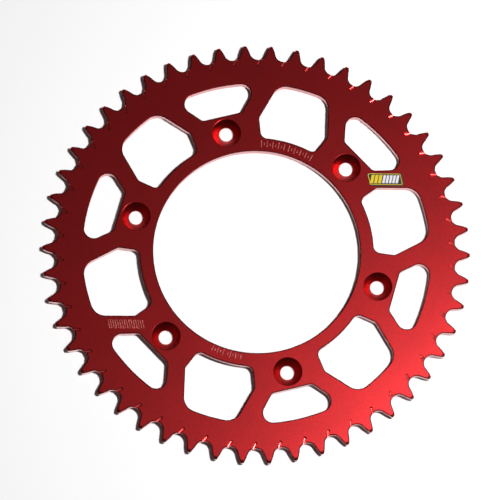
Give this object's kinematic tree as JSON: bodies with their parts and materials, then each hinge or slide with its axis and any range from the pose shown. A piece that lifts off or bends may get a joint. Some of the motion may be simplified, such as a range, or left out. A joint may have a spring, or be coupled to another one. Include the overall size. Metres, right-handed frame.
{
  "type": "motorcycle rear sprocket",
  "caption": "Flat toothed chain wheel with a large centre bore, countersunk bolt holes, trapezoid lightening windows and slanted mud grooves at the tooth roots.",
  "frame": {"origin": "centre of the back (hub) face of the plate, on the wheel's axis", "axes": "+Z along the wheel's axis, out of the countersunk front face; one bolt hole and one tooth gap lie on -Y"},
  "size_m": [0.2606, 0.2602, 0.0065],
  "materials": {
    "anodised_aluminium": "satin red anodised",
    "printed_film": "glossy printed vinyl"
  },
  "bodies": {
    "root": {"sprocket_plate": "anodised_aluminium", "decal": "printed_film"}
  },
  "joints": []
}
